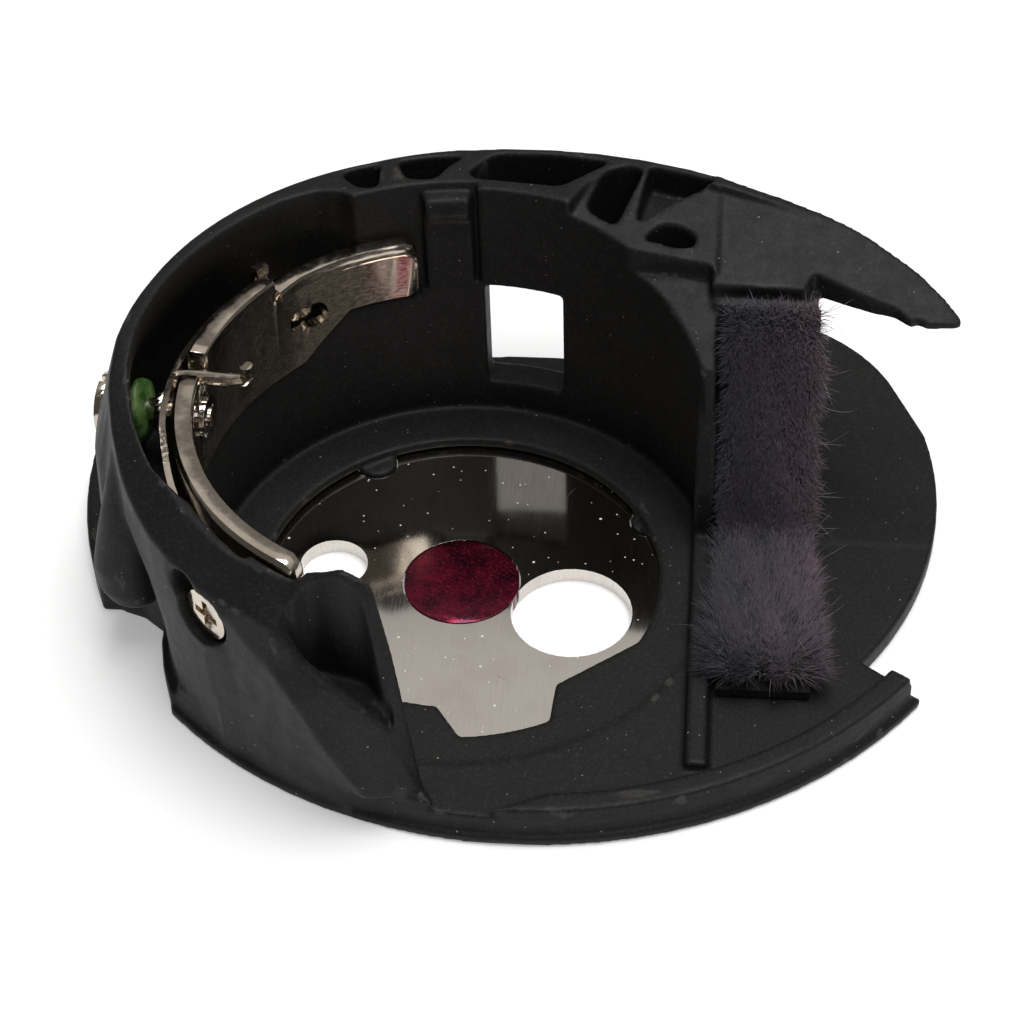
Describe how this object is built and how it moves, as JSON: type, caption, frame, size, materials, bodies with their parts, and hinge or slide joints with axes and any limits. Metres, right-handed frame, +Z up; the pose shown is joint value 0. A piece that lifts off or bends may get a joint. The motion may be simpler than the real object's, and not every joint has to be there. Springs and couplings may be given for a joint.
{
  "type": "bobbin case",
  "caption": "Drop-in bobbin case: moulded cup on a round flange with a curved horn, steel floor plate, thread tension spring with screw, and a strip of pile.",
  "frame": {"origin": "on the axis of the bobbin's cup, at the level of the underside", "axes": "+Z up along the bobbin's axis, +X towards the horn's tip, +Y towards the rim's back"},
  "size_m": [0.0392, 0.0335, 0.0142],
  "materials": {
    "black_plastic": "moulded, fine matte grain",
    "bright_steel": "bright, finely brushed and scratched",
    "polished_nickel": "polished nickel plate",
    "dark_red_lacquer": "glossy dark red lacquer",
    "green_thread_lock": "cured thread lock",
    "black_felt": "felt backing",
    "purple_grey_pile": "short pile"
  },
  "bodies": {
    "case": {"case_body": "black_plastic", "keeper_plate": "bright_steel", "centre_magnet": "dark_red_lacquer", "guide_plate": "polished_nickel", "guide_bush": "bright_steel", "thread_lock_seal": "green_thread_lock", "front_mounting_screw": "polished_nickel", "rear_mounting_screw": "polished_nickel", "pile_backing": "black_felt", "pile_strip": "purple_grey_pile"},
    "tension_leaf": {"tension_spring": "polished_nickel"},
    "tension_adjuster": {"tension_screw": "polished_nickel"}
  },
  "joints": [
    {"name": "tension_spring_flex", "type": "hinge", "parent": "case", "child": "tension_leaf", "pos_m": [-0.00795, -0.00883, 0.00841], "axis": [0, 0, 1], "range_deg": [0, 1.5], "stiffness_Nm_per_rad": 0.02, "springref_deg": -1.15},
    {"name": "tension_screw_turn", "type": "hinge", "parent": "case", "child": "tension_adjuster", "pos_m": [-0.01258, 0.00154, 0.00894], "axis": [-0.9925, 0.1219, 0], "range_deg": [-180, 180]}
  ]
}
